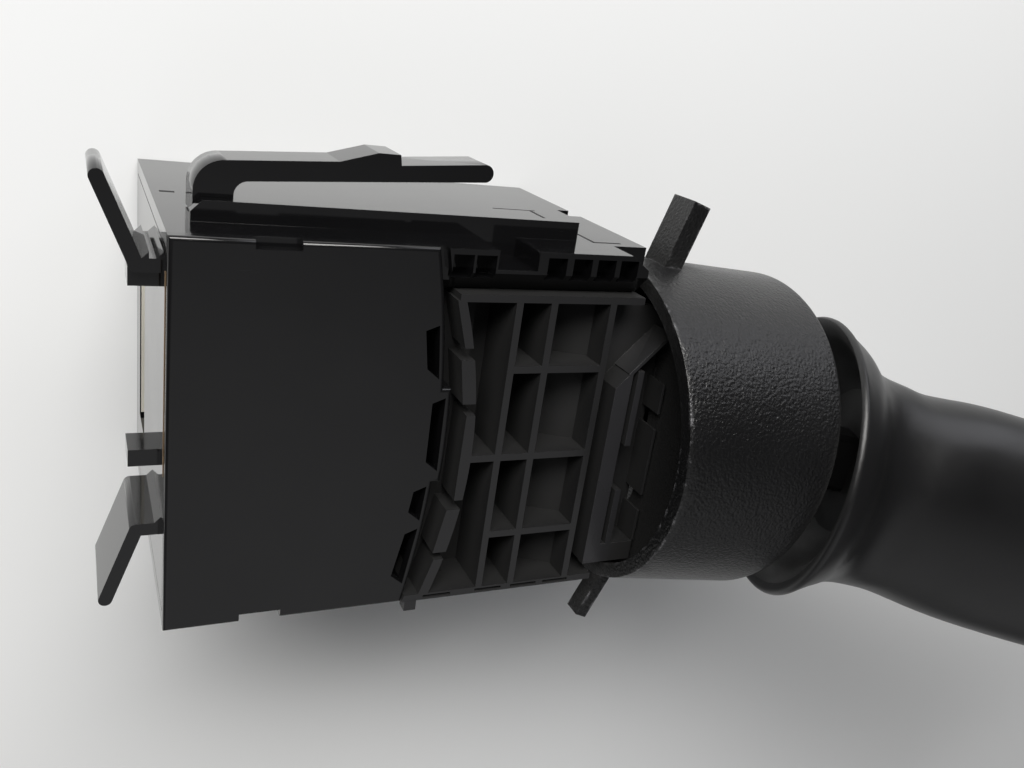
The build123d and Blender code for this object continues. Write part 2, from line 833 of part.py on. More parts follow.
# ---------------------------------------------------------------------- collar
mouth_plane = Plane(
    origin=(box_length, collar_y, collar_z), x_dir=(0, 1, 0), z_dir=(1, 0, 0)
)
tilt = radians(collar_tilt)
rim_plane = Plane(
    origin=(box_length + collar_length, collar_y - collar_drop, collar_z),
    x_dir=(sin(tilt), cos(tilt), 0),
    z_dir=(cos(tilt), -sin(tilt), 0),
)
with BuildPart() as collar:
    with BuildSketch(mouth_plane):
        Circle(collar_mouth)
    with BuildSketch(rim_plane):
        Circle(collar_rim)
    loft()
    with BuildSketch(mouth_plane):
        Circle(collar_bore)
    with BuildSketch(rim_plane):
        Circle(collar_rim - collar_wall)
    loft(mode=Mode.SUBTRACT)
    fillet(collar.faces().sort_by(Axis.X)[-1].edges(), rim_round)
    # tongues that plug into the box
    for side, tongue_z in ((1, upper_tongue_z), (-1, lower_tongue_z)):
        with BuildSketch(Plane.YZ.offset(box_length - tongue_reach)):
            with Locations((side * (inner_h - tongue_thick / 2 - fit_gap), tongue_z)):
                Rectangle(tongue_thick, tongue_width)
        extrude(amount=tongue_reach + tongue_root)
    # bulkhead with the opening for the lever's stem
    with BuildSketch(Plane.YZ.offset(bulkhead_x)):
        drop = collar_drop * (bulkhead_x - box_length) / collar_length
        with Locations((collar_y - drop, collar_z)):
            Circle(collar_bore + collar_wall / 2)
        with Locations((stem_opening_y, stem_opening_z)):
            RectangleRounded(
                stem_opening_width,
                stem_opening_height,
                stem_opening_round,
                mode=Mode.SUBTRACT,
            )
    extrude(amount=bulkhead_thick)
    # prongs that hook the cowl
    with BuildSketch(Plane.XY.offset(collar_z - upper_prong_width / 2)):
        with Locations((upper_prong_x, collar_y + collar_mouth - prong_root / 2)):
            Rectangle(
                upper_prong_thick,
                upper_prong + prong_root / 2,
                rotation=-upper_prong_lean,
                align=(Align.CENTER, Align.MIN),
            )
    extrude(amount=upper_prong_width)
    with BuildSketch(Plane.XY.offset(lower_prong_z)):
        with Locations((lower_prong_x, collar_y - collar_mouth + prong_root)):
            Rectangle(
                lower_prong_thick,
                lower_prong + prong_root,
                rotation=-lower_prong_lean,
                align=(Align.CENTER, Align.MAX),
            )
    extrude(amount=lower_prong_width)
collar.part.label = "collar"

# --------------------------------------------------------------- release latch
latch_back = latch_front - latch_width
with BuildPart() as release_latch:
    foot_y = half_h + latch_gap
    left_x = latch_root_x - latch_root / 2
    right_x = latch_root_x + latch_root / 2
    back_y = latch_under + latch_arm
    ramp_y = back_y + latch_rise
    crest_x = latch_ramp_x + latch_ramp_length
    crest_end = crest_x + latch_ramp_flat
    crest_y = ramp_y + latch_ramp_rise
    tab_x = latch_end - latch_arm / 2
    tab_y = ramp_y + latch_tab_rise
    with BuildSketch(Plane.XY.offset(latch_back)):
        with BuildLine():
            Line((left_x, foot_y), (left_x, back_y - latch_corner))
            RadiusArc(
                (left_x, back_y - latch_corner), (left_x + latch_corner, back_y), latch_corner
            )
            Polyline(
                (left_x + latch_corner, back_y),
                (latch_ramp_x, ramp_y),
                (crest_x, crest_y),
                (crest_end, crest_y),
                (crest_end + latch_tab_gap, crest_y - latch_ramp_drop),
                (tab_x, tab_y),
            )
            ThreePointArc(
                (tab_x, tab_y), (latch_end, tab_y - latch_arm / 2), (tab_x, tab_y - latch_arm)
            )
            Line((tab_x, tab_y - latch_arm), (right_x + latch_slot_round, latch_under))
            RadiusArc(
                (right_x + latch_slot_round, latch_under),
                (right_x, latch_under - latch_slot_round),
                -latch_slot_round,
            )
            Polyline((right_x, latch_under - latch_slot_round), (right_x, foot_y), (left_x, foot_y))
        make_face()
    extrude(amount=latch_width)
release_latch.part.label = "release_latch"

# ------------------------------------------------------------------------ yoke
cage_inner = cage_height - cage_plate
cheek_y = hub_width / 2 + fit_gap + cheek_thick / 2
with BuildPart() as yoke:
    with BuildSketch(cage_plan.offset(-cage_height)):
        for side in (-1, 1):
            with Locations((0, side * cheek_y)):
                Rectangle(cheek_length, cheek_thick)
    extrude(amount=2 * cage_height)
    with BuildSketch(cage_plan.offset(-cage_height)):
        Rectangle(cheek_length, 2 * cheek_y + cheek_thick)
    extrude(amount=cage_plate)
    with BuildSketch(cage_plan.offset(cage_inner)):
        Rectangle(cheek_length, 2 * cheek_y + cheek_thick)
    extrude(amount=cage_plate)
    fillet(yoke.edges().filter_by(Axis.Z).group_by(SortBy.LENGTH)[-1], edge_round)
    with BuildSketch(cage_plan.offset(cage_height)):
        Circle(trunnion_radius)
    extrude(amount=moving_gap + plate_thick)
    with BuildSketch(cage_plan.offset(-cage_height)):
        Circle(trunnion_radius)
    extrude(amount=-(moving_gap + plate_thick))
    with BuildSketch(cage_plan.offset(lower_ledge_top - arm_plate)):
        Circle(stub_radius)
    extrude(amount=arm_plate)
    with BuildSketch(lever_across):
        Circle(pin_radius)
    extrude(amount=2 * box_height, both=True, mode=Mode.SUBTRACT)
yoke.part.label = "yoke"

with BuildPart() as hinge_pin:
    with BuildSketch(lever_across):
        Circle(pin_radius)
    extrude(amount=cheek_y + cheek_thick / 2, both=True)
hinge_pin.part.label = "hinge_pin"

# ---------------------------------------------- drive arm, slider and guide
arm_plate_back = lower_ledge_top - arm_plate
slider_back = board_front + moving_gap / 2
slider_front = arm_plate_back - moving_gap
with BuildPart() as drive_arm:
    with BuildSketch(cage_plan.offset(arm_plate_back)):
        with Locations((-drive_radius / 2, 0)):
            SlotCenterToCenter(drive_radius, 2 * trunnion_radius)
        Circle(stub_radius, mode=Mode.SUBTRACT)
    extrude(amount=arm_plate - moving_gap)
    with BuildSketch(cage_plan.offset(arm_plate_back)):
        with Locations((-drive_radius, 0)):
            Circle(drive_pin)
    extrude(amount=-(arm_plate_back - slider_back - moving_gap))
drive_arm.part.label = "drive_arm"

drive_x = pivot_x - drive_radius * cos(head)
drive_y = -drive_radius * sin(head)
with BuildPart() as contact_slider:
    with BuildSketch(Plane.XY.offset(slider_back)):
        with Locations((drive_x, drive_y)):
            RectangleRounded(slider_length, slider_width, edge_round)
            slot_height = 2 * (drive_pin + running_gap)
            SlotOverall(slot_height + slot_play, slot_height, mode=Mode.SUBTRACT)
        with Locations((drive_x - blade_offset, drive_y), (drive_x + blade_offset, drive_y)):
            Rectangle(blade_width, blade_length, mode=Mode.SUBTRACT)
    extrude(amount=slider_front - slider_back)
contact_slider.part.label = "contact_slider"

with BuildPart() as contact_blades:
    with BuildSketch(Plane.XY.offset(slider_front - blade_thick)):
        with Locations((drive_x - blade_offset, drive_y), (drive_x + blade_offset, drive_y)):
            Rectangle(blade_width, blade_length)
    extrude(amount=blade_thick)
contact_blades.part.label = "contact_blades"

with BuildPart() as slider_guide:
    window_length = slider_length + 2 * running_gap
    window_width = slider_width + 2 * (slider_travel + moving_gap)
    with BuildSketch(Plane.XY.offset(board_front)):
        with Locations((drive_x, drive_y)):
            Rectangle(window_length + 2 * guide_margin, window_width + 2 * guide_margin)
            Rectangle(window_length, window_width, mode=Mode.SUBTRACT)
    extrude(amount=slider_front - board_front)
slider_guide.part.label = "slider_guide"

# ------------------------------------------------------------------ lever core
with BuildPart() as lever_core:
    with BuildSketch(lever_across):
        Circle(hub_radius)
    extrude(amount=hub_width / 2, both=True)
    with BuildSketch(lever_section):
        RectangleRounded(stem_width, stem_thick, 1.0)
    extrude(amount=stem_seat)
    with BuildSketch(lever_section):
        Circle(tail_radius)
    extrude(amount=-tail_length)
    with BuildSketch(lever_section.offset(-tail_length)):
        Circle(plunger_radius + running_gap)
    extrude(amount=tail_length - hub_radius + hub_bore_depth, mode=Mode.SUBTRACT)
    with BuildSketch(lever_across):
        Circle(pin_radius + running_gap)
    extrude(amount=hub_width, both=True, mode=Mode.SUBTRACT)
lever_core.part.label = "lever_core"

with BuildPart() as detent_plunger:
    with BuildSketch(lever_side):
        with BuildLine():
            tip = -plunger_tip
            shoulder = tip + plunger_radius
            Line((tip, 0), (tip + plunger_length, 0))
            Line((tip + plunger_length, 0), (tip + plunger_length, plunger_radius))
            Line((tip + plunger_length, plunger_radius), (shoulder, plunger_radius))
            quarter = plunger_radius * (1 - sin(radians(45)))
            ThreePointArc(
                (shoulder, plunger_radius),
                (tip + quarter, plunger_radius * sin(radians(45))),
                (tip, 0),
            )
        make_face()
    revolve(axis=lever_axis)
detent_plunger.part.label = "detent_plunger"

bore_floor = hub_radius - hub_bore_depth
spring_start = -plunger_tip + plunger_length + plunger_travel + axial_gap
spring_space = -bore_floor - spring_start - axial_gap
with BuildPart() as detent_spring:
    coil_radius = plunger_radius - spring_wire - running_gap
    coil_pitch = (spring_space - 2 * spring_wire) / spring_turns
    for turn in range(spring_turns + 1):
        station = spring_start + spring_wire + turn * coil_pitch
        with BuildSketch(lever_side):
            with Locations((station, coil_radius)):
                RegularPolygon(spring_wire, 6)
        revolve(axis=lever_axis)
detent_spring.part.label = "detent_spring"

# ---------------------------------------------------------------- detent block
track_radius = plunger_tip + track_gap
with BuildPart() as detent_block:
    block_floor = lower_ledge_top + plate_thick
    with BuildSketch(Plane.XY.offset(block_floor)):
        with Locations((detent_back_x, 0)):
            Rectangle(detent_length, detent_width, align=(Align.MIN, Align.CENTER))
    extrude(amount=detent_front - block_floor)
    with Locations(pivot):
        Sphere(track_radius, mode=Mode.SUBTRACT)
    valley_radius = plunger_radius + track_gap
    for swing in (-detent_step, 0, detent_step):
        angle = radians(lever_heading + swing + 180)
        reach = track_radius + detent_valley - valley_radius
        spot = (pivot_x + reach * cos(angle) * cos(rise), reach * sin(angle) * cos(rise))
        with BuildSketch(Plane.XY.offset(block_floor)):
            with Locations(spot):
                Circle(valley_radius)
        extrude(amount=detent_front - block_floor, mode=Mode.SUBTRACT)
detent_block.part.label = "detent_block"

# ----------------------------------------------------------------- dust shield
with BuildPart() as dust_shield:
    with BuildSketch(lever_side):
        with BuildLine():
            outer = shield_radius + shield_thick
            spread = asin(shield_reach / outer)
            spread_in = asin(shield_reach / shield_radius)
            half_in = spread_in / 2
            half_out = spread / 2
            inner_edge = (shield_radius * cos(spread_in), shield_reach)
            outer_edge = (outer * cos(spread), shield_reach)
            Line((shield_radius, 0), (outer, 0))
            ThreePointArc((outer, 0), (outer * cos(half_out), outer * sin(half_out)), outer_edge)
            Line(outer_edge, inner_edge)
            ThreePointArc(
                inner_edge,
                (shield_radius * cos(half_in), shield_radius * sin(half_in)),
                (shield_radius, 0),
            )
        make_face()
    revolve(axis=lever_axis)
    with BuildSketch(lever_section.offset(shield_radius - shield_slot / 2)):
        RectangleRounded(stem_width + 2 * running_gap, stem_thick + 2 * running_gap, 1.0)
    extrude(amount=shield_slot, mode=Mode.SUBTRACT)
dust_shield.part.label = "dust_shield"

# ----------------------------------------------------------------- lever shell
# each station: distance past the bell's rim, centre offset, half width, half thickness
stations = [
    (0.0, 0.0, 21.9, 21.9),
    (2.0, -0.9, 20.5, 20.4),
    (4.0, -1.0, 19.4, 19.2),
    (6.0, -1.55, 18.6, 17.1),
    (8.5, -2.5, 17.4, 14.05),
    (12.0, -3.0, 16.5, 11.8),
    (17.0, -3.5, 16.05, 11.6),
    (24.0, -4.15, 16.7, 11.6),
    (34.0, -5.2, 17.5, 11.6),
    (50.0, -6.2, 18.2, 11.5),
    (66.0, -6.5, 17.0, 11.6),
    (79.0, -6.5, 14.2, 11.8),
    (handle_end, handle_offset, tip_radius, tip_radius),
]
# the bell's hollow: distance past the rim, radius
hollow = [(0.0, 20.2), (2.0, 17.9), (4.0, 16.7), (6.0, 15.3), (8.5, 12.4), (neck_floor, neck_radius)]
with BuildPart() as lever_shell:
    for station, offset_y, half_w, half_t in stations:
        with BuildSketch(lever_section.offset(bell_distance + station)):
            with Locations((offset_y, 0)):
                Ellipse(half_w, half_t) if half_w != half_t else Circle(half_w)
    loft()
    fillet(lever_shell.faces().sort_by(lever_axis)[0].outer_wire().edges(), bell_lip)
    # hollow of the bell
    with BuildSketch(lever_side):
        with BuildLine():
            wall_points = [(bell_distance + station, radius) for station, radius in hollow]
            Polyline((bell_distance + neck_floor, 0), (bell_distance, 0), *wall_points, close=True)
        make_face()
    revolve(axis=lever_axis, mode=Mode.SUBTRACT)
    # bore of the handle
    with BuildSketch(lever_section.offset(bell_distance + shell_bore_start)):
        with Locations((shell_bore_offset, 0)):
            Ellipse(shell_bore_width, shell_bore_thick)
    extrude(amount=shell_bore_length, mode=Mode.SUBTRACT)
    with BuildSketch(tip_section.offset(handle_end)):
        Circle(spigot_radius + running_gap)
    extrude(amount=-(handle_end - shell_bore_start - shell_bore_length), mode=Mode.SUBTRACT)
lever_shell.part.label = "lever_shell"

# ------------------------------------------------------------ parts at the tip
ring_start = handle_end + axial_gap
band_start = ring_start + ring_length + axial_gap
knob_start = band_start + band_length + axial_gap
with BuildPart() as tip_sleeve:
    with BuildSketch(tip_section.offset(handle_end - spigot_insert)):
        Circle(spigot_radius)
    extrude(amount=spigot_insert + axial_gap + ring_length + axial_gap)
    with BuildSketch(tip_section.offset(band_start)):
        Circle(tip_radius)
    extrude(amount=band_length)
    with BuildSketch(tip_section.offset(handle_end - spigot_insert)):
        Circle(shaft_radius + running_gap)
    extrude(amount=spigot_insert + 2 * axial_gap + ring_length + band_length, mode=Mode.SUBTRACT)
tip_sleeve.part.label = "tip_sleeve"

with BuildPart() as adjust_ring:
    with BuildSketch(tip_section.offset(ring_start)):
        Circle(ring_radius)
        with PolarLocations(ring_radius, ring_flutes):
            Circle(flute_radius, mode=Mode.SUBTRACT)
        Circle(spigot_radius + running_gap, mode=Mode.SUBTRACT)
    extrude(amount=ring_length)
adjust_ring.part.label = "adjust_ring"

with BuildPart() as end_knob:
    with BuildSketch(tip_section.offset(knob_start)):
        Circle(knob_radius)
    with BuildSketch(tip_section.offset(knob_start + knob_length)):
        Circle(knob_taper)
    loft()
    with BuildSketch(tip_section.offset(knob_start + knob_flat_start)):
        for side in (-1, 1):
            with Locations((0, side * (knob_flat + knob_radius / 2))):
                Rectangle(2 * knob_radius, knob_radius)
    extrude(amount=knob_length, mode=Mode.SUBTRACT)
    with BuildSketch(tip_section.offset(knob_start + knob_length)):
        Circle(cap_radius + fit_gap)
    extrude(amount=-cap_thick, mode=Mode.SUBTRACT)
    with BuildSketch(tip_section.offset(knob_start)):
        Circle(shaft_radius)
    extrude(amount=knob_length - cap_thick - knob_floor, mode=Mode.SUBTRACT)
end_knob.part.label = "end_knob"

with BuildPart() as end_cap:
    with BuildSketch(tip_section.offset(knob_start + knob_length - cap_thick)):
        Circle(cap_radius)
    extrude(amount=cap_thick + cap_rise)
    fillet(end_cap.faces().sort_by(lever_axis)[-1].edges(), cap_round)
end_cap.part.label = "end_cap"

with BuildPart() as knob_shaft:
    shaft_end = knob_start + knob_length - cap_thick - knob_floor
    with BuildSketch(tip_section.offset(shaft_end - shaft_length)):
        Circle(shaft_radius)
    extrude(amount=shaft_length)
    with BuildSketch(tip_section.offset(shaft_end - shaft_length)):
        Circle(disc_radius)
    extrude(amount=-disc_thick)
knob_shaft.part.label = "knob_shaft"

with BuildPart() as contact_plate:
    plate_station = shaft_end - shaft_length - disc_thick - moving_gap - contact_plate_thick
    with BuildSketch(lever_section.offset(bell_distance + plate_station)):
        with Locations((shell_bore_offset, 0)):
            Ellipse(shell_bore_width - fit_gap, shell_bore_thick - fit_gap)
    extrude(amount=contact_plate_thick)
contact_plate.part.label = "contact_plate"

# ---------------------------------------------------------------------- export
pieces = [
    end_plate,
    main_housing,
    front_cover,
    rear_cover,
    circuit_board,
    board_screws,
    terminal_block,
    terminal_pins,
    bearing_plate,
    pivot_bridge,
    plate_screws,
    rib_frame,
    guide_comb,
    collar,
    release_latch,
    yoke,
    hinge_pin,
    drive_arm,
    contact_slider,
    contact_blades,
    slider_guide,
    lever_core,
    detent_plunger,
    detent_spring,
    detent_block,
    dust_shield,
    lever_shell,
    tip_sleeve,
    adjust_ring,
    end_knob,
    end_cap,
    knob_shaft,
    contact_plate,
]
for piece in pieces:
    export_step(piece.part, f"parts/{piece.part.label}.step")
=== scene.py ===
"""Dresses the combination stalk switch for a studio view.

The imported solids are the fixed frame. The classes below give each sub-assembly its
moulded, drawn or stamped finish, its softened edges and its small fitted details.
Lengths are metres, and sizes in millimetres pass through ``mm``.
"""

import logging
import math
from dataclasses import dataclass
from enum import Enum
from typing import Optional

import bmesh
import bpy
from mathutils import Matrix, Vector


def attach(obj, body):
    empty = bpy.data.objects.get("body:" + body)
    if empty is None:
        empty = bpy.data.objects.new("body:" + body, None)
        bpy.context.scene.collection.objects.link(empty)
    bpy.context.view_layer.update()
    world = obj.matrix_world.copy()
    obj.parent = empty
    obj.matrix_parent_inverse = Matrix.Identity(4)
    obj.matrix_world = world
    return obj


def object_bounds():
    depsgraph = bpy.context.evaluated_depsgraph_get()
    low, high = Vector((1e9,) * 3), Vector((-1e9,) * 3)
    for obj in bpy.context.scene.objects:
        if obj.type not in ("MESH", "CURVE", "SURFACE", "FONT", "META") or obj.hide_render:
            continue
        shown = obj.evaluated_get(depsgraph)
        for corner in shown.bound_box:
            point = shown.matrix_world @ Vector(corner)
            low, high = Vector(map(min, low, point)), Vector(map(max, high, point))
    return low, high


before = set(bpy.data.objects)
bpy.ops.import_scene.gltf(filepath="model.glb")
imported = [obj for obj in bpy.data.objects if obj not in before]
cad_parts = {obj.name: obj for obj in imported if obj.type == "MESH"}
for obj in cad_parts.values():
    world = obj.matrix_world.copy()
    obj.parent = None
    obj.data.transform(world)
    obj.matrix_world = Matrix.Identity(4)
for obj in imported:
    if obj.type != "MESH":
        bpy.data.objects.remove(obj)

CAD_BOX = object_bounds()
LOG = logging.getLogger("stalk_switch")

Socket = bpy.types.NodeSocket
Triple = tuple[float, float, float]
Block = tuple[Triple, Triple]
Span = tuple[float, float, float, float]

# Millimetres below which the points of neighbouring faces are joined.
WELD_GAP = 0.004
# Degrees between two faces above which their edge is softened.
EDGE_ANGLE = 32.0
# Rows of faces across a softened edge.
EDGE_STEPS = 2

# Painted shade for enclosed places, pale dust and rubbed plastic.
PAINTED_SHADE = "#050505"
SHADE_ROUGHNESS = 0.85
DUST = "#6b6a67"
RUBBED = "#77777a"


def mm(length: float) -> float:
    """Turns millimetres into metres."""
    return length * 0.001


def per(length: float) -> float:
    """Gives the pattern scale whose cells measure ``length`` millimetres."""
    return 1000.0 / length


def linear(code: str) -> tuple[float, float, float, float]:
    """Turns an sRGB hex colour into a linear one.

    Args:
        code: colour as ``#rrggbb``.

    Returns:
        Linear red, green and blue with a full alpha.
    """
    parts = [int(code[i : i + 2], 16) / 255.0 for i in (1, 3, 5)]
    red, green, blue = (
        p / 12.92 if p <= 0.04045 else ((p + 0.055) / 1.055) ** 2.4 for p in parts
    )
    return (red, green, blue, 1.0)


def start_material(name: str) -> tuple[bpy.types.Material, bpy.types.NodeTree, Socket]:
    """Starts an empty node material.

    Args:
        name: material name.

    Returns:
        The material, its node tree and its object coordinates.
    """
    material = bpy.data.materials.new(name)
    material.use_nodes = True
    tree = material.node_tree
    tree.nodes.clear()
    place = add_node(tree, "ShaderNodeTexCoord").outputs["Object"]
    return material, tree, place


def add_node(
    tree: bpy.types.NodeTree,
    kind: str,
    settings: Optional[dict] = None,
    links: Optional[dict] = None,
) -> bpy.types.Node:
    """Adds one shader node with its settings and its incoming links.

    Args:
        tree: node tree that receives the node.
        kind: type name of the node.
        settings: property names or input names (or numbers) with their values.
        links: input names (or numbers) with the sockets that feed them.

    Returns:
        The new node.
    """
    node = tree.nodes.new(kind)
    for key, value in (settings or {}).items():
        if isinstance(key, str) and hasattr(node, key):
            setattr(node, key, value)
        else:
            node.inputs[key].default_value = value
    for key, socket in (links or {}).items():
        tree.links.new(socket, node.inputs[key])
    return node


class Grain(Enum):
    """Surface that the tool steel left on a moulding."""

    FINE = "polished or spark eroded"
    LEATHER = "leather grained"


@dataclass(frozen=True)
class MouldedPlastic:
    """Injection-moulded thermoplastic.

    Args:
        name: material name.
        colour: body colour as sRGB hex.
        roughness: mean roughness of the skin.
        spread: how far the roughness drifts over the part.
        grain: what the tool left on the skin.
        cell: size of one grain cell in millimetres.
        depth: depth of the grain in millimetres.
        scratches: strength of the fine handling marks.
        dust: share of the surface that carries pale specks.
        wear: how far rubbed edges turn pale, from 0 to 1.
        shade_reach: reach in millimetres over which enclosed places get painted shade and lose
            their shine, 0 for none.
        ior: refractive index of the polymer.
    """

    name: str
    colour: str
    roughness: float
    spread: float = 0.06
    grain: Grain = Grain.FINE
    cell: float = 0.25
    depth: float = 0.004
    scratches: float = 0.0
    dust: float = 0.0
    wear: float = 0.0
    shade_reach: float = 0.0
    ior: float = 1.53

    def make(self) -> bpy.types.Material:
        """Builds the material.

        Returns:
            The new material.
        """
        material, tree, place = start_material(self.name)
        shader = add_node(tree, "ShaderNodeBsdfPrincipled", {"IOR": self.ior})
        add_node(tree, "ShaderNodeOutputMaterial", links={"Surface": shader.outputs[0]})
        tree.links.new(self._relief(tree, place), shader.inputs["Normal"])
        rough, colour = self._skin(tree, place), self._tint(tree, place)
        # Painted shade: enclosed places turn near black and lose their shine.
        if self.shade_reach:
            rough, colour = self._painted_shade(tree, rough, colour)
        tree.links.new(rough, shader.inputs["Roughness"])
        tree.links.new(colour, shader.inputs["Base Color"])
        return material

    def _painted_shade(
        self, tree: bpy.types.NodeTree, rough: Socket, colour: Socket
    ) -> tuple[Socket, Socket]:
        """Paints shade into enclosed places: darkens their colour and takes their shine.

        Args:
            tree: node tree of the material.
            rough: roughness of the open skin.
            colour: body colour with its wear.

        Returns:
            Roughness and colour with painted shade in their recesses.
        """
        # Painted shade from ambient occlusion: the more enclosed the place, the nearer black its
        # colour and the rougher its skin.
        occlusion = add_node(
            tree, "ShaderNodeAmbientOcclusion", {"samples": 6, "Distance": mm(self.shade_reach)}
        )
        free = add_node(
            tree,
            "ShaderNodeMapRange",
            {"From Min": 0.45, "From Max": 0.85},
            {"Value": occlusion.outputs["AO"]},
        ).outputs[0]
        dull = add_node(
            tree,
            "ShaderNodeMix",
            {"data_type": "FLOAT", 2: SHADE_ROUGHNESS},
            {0: free, 3: rough},
        )
        shaded_tone = add_node(
            tree,
            "ShaderNodeMix",
            {"data_type": "RGBA", 6: linear(PAINTED_SHADE)},
            {0: free, 7: colour},
        )
        return dull.outputs[0], shaded_tone.outputs[2]

    def _marks(self, tree: bpy.types.NodeTree, place: Socket) -> Socket:
        """Draws thin, straight handling marks.

        Args:
            tree: node tree of the material.
            place: object coordinates.

        Returns:
            Socket that is 1 on a mark and 0 elsewhere.
        """
        lay = add_node(
            tree,
            "ShaderNodeMapping",
            {"Rotation": (0.4, 0.3, 0.5), "Scale": (0.05, 1.0, 1.0)},
            {"Vector": place},
        )
        streak = add_node(
            tree,
            "ShaderNodeTexNoise",
            {"Scale": per(0.45), "Detail": 2.0},
            {"Vector": lay.outputs[0]},
        )
        thin = add_node(
            tree,
            "ShaderNodeMapRange",
            {"From Min": 0.69, "From Max": 0.75},
            {"Value": streak.outputs["Fac"]},
        )
        patch = add_node(
            tree,
            "ShaderNodeTexNoise",
            {"Scale": per(9.0), "Detail": 1.0},
            {"Vector": place},
        )
        where = add_node(
            tree,
            "ShaderNodeMapRange",
            {"From Min": 0.5, "From Max": 0.62},
            {"Value": patch.outputs["Fac"]},
        )
        both = add_node(
            tree,
            "ShaderNodeMath",
            {"operation": "MULTIPLY"},
            {0: thin.outputs[0], 1: where.outputs[0]},
        )
        return both.outputs[0]

    def _skin(self, tree: bpy.types.NodeTree, place: Socket) -> Socket:
        """Gives the roughness, which drifts slowly and rises on the marks.

        Args:
            tree: node tree of the material.
            place: object coordinates.

        Returns:
            Roughness of the open skin.
        """
        drift = add_node(
            tree,
            "ShaderNodeTexNoise",
            {"Scale": per(17.0), "Detail": 3.0},
            {"Vector": place},
        )
        base = add_node(
            tree,
            "ShaderNodeMapRange",
            {
                "From Min": 0.3,
                "From Max": 0.7,
                "To Min": self.roughness - self.spread,
                "To Max": self.roughness + self.spread,
            },
            {"Value": drift.outputs["Fac"]},
        )
        if not self.scratches:
            return base.outputs[0]
        rough = add_node(
            tree,
            "ShaderNodeMath",
            {"operation": "MULTIPLY_ADD", 1: self.scratches},
            {0: self._marks(tree, place), 2: base.outputs[0]},
        )
        return rough.outputs[0]

    def _tint(self, tree: bpy.types.NodeTree, place: Socket) -> Socket:
        """Gives the body colour with its slow drift and its settled specks.

        Args:
            tree: node tree of the material.
            place: object coordinates.

        Returns:
            Body colour with its wear and its dust.
        """
        cloud = add_node(
            tree,
            "ShaderNodeTexNoise",
            {"Scale": per(11.0), "Detail": 4.0},
            {"Vector": place},
        )
        red, green, blue, alpha = linear(self.colour)
        tint = add_node(
            tree,
            "ShaderNodeMix",
            {
                "data_type": "RGBA",
                6: (red * 0.82, green * 0.82, blue * 0.82, alpha),
                7: (red * 1.25, green * 1.25, blue * 1.25, alpha),
            },
            {0: cloud.outputs["Fac"]},
        )
        colour = self._worn(tree, place, tint.outputs[2]) if self.wear else tint.outputs[2]
        if not self.dust:
            return colour
        specks = add_node(
            tree, "ShaderNodeTexVoronoi", {"Scale": per(1.3)}, {"Vector": place}
        )
        dots = add_node(
            tree,
            "ShaderNodeMapRange",
            {"From Min": 0.09, "From Max": 0.03},
            {"Value": specks.outputs["Distance"]},
        )
        sift = add_node(
            tree,
            "ShaderNodeMath",
            {"operation": "LESS_THAN", 1: self.dust},
            {0: specks.outputs["Color"]},
        )
        settled = add_node(
            tree,
            "ShaderNodeMath",
            {"operation": "MULTIPLY"},
            {0: dots.outputs[0], 1: sift.outputs[0]},
        )
        dusty = add_node(
            tree,
            "ShaderNodeMix",
            {"data_type": "RGBA", 7: linear(DUST)},
            {0: settled.outputs[0], 6: colour},
        )
        return dusty.outputs[2]

    def _worn(self, tree: bpy.types.NodeTree, place: Socket, colour: Socket) -> Socket:
        """Turns the rubbed edges pale in broken stretches.

        Args:
            tree: node tree of the material.
            place: object coordinates.
            colour: body colour.

        Returns:
            Body colour with its worn edges.
        """
        round_edge = add_node(tree, "ShaderNodeBevel", {"Radius": mm(0.7)})
        face = add_node(tree, "ShaderNodeNewGeometry")
        turn = add_node(
            tree,
            "ShaderNodeVectorMath",
            {"operation": "DOT_PRODUCT"},
            {0: round_edge.outputs[0], 1: face.outputs["True Normal"]},
        )
        edge = add_node(
            tree,
            "ShaderNodeMapRange",
            {"From Min": 0.985, "From Max": 0.9},
            {"Value": turn.outputs["Value"]},
        )
        chips = add_node(
            tree,
            "ShaderNodeTexNoise",
            {"Scale": per(1.6), "Detail": 5.0, "Roughness": 0.7},
            {"Vector": place},
        )
        broken = add_node(
            tree,
            "ShaderNodeMapRange",
            {"From Min": 0.5, "From Max": 0.62, "To Max": self.wear},
            {"Value": chips.outputs["Fac"]},
        )
        share = add_node(
            tree,
            "ShaderNodeMath",
            {"operation": "MULTIPLY"},
            {0: edge.outputs[0], 1: broken.outputs[0]},
        )
        worn = add_node(
            tree,
            "ShaderNodeMix",
            {"data_type": "RGBA", 7: linear(RUBBED)},
            {0: share.outputs[0], 6: colour},
        )
        return worn.outputs[2]

